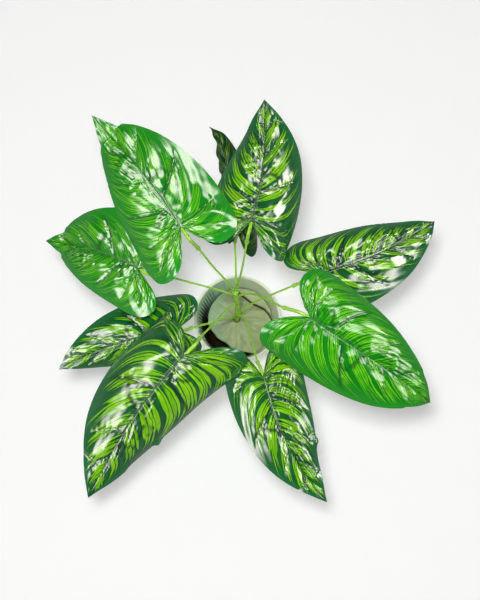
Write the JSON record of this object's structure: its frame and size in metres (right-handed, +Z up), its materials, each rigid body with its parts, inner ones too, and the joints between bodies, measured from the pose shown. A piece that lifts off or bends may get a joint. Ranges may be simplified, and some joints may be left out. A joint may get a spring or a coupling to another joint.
{
  "type": "potted zebra alocasia",
  "caption": "House plant with arrow-shaped, zebra-striped glossy leaves on slim green stalks, standing in a cast filling in a round tapered sage-green pot.",
  "frame": {"origin": "middle of the pot's flat underside", "axes": "+Z up along the pot's axis, +Y towards the highest pair of back leaves, +X to the right in the picture"},
  "size_m": [0.523, 0.518, 0.4858],
  "materials": {
    "pot": "weathered sage-green glaze with a pale rim",
    "filling": "matt cast filling, grey-green and mottled",
    "stalk": "smooth yellow-green",
    "bright_leaf": "glossy bright green with lime zebra strokes",
    "dark_leaf": "glossy blue-green with lime zebra stripes"
  },
  "bodies": {
    "root": {"pot": "pot", "potting_fill": "filling", "stems": "stalk", "sleeve_1": "stalk", "sleeve_2": "stalk", "sleeve_3": "stalk", "sleeve_4": "stalk", "sleeve_5": "stalk", "sleeve_6": "stalk", "sleeve_7": "stalk", "sleeve_8": "stalk", "sleeve_9": "stalk", "leaf_1": "bright_leaf", "leaf_2": "bright_leaf", "leaf_3": "dark_leaf", "leaf_4": "dark_leaf", "leaf_5": "dark_leaf", "leaf_6": "bright_leaf", "leaf_7": "dark_leaf", "leaf_8": "dark_leaf", "leaf_9": "dark_leaf"}
  },
  "joints": []
}
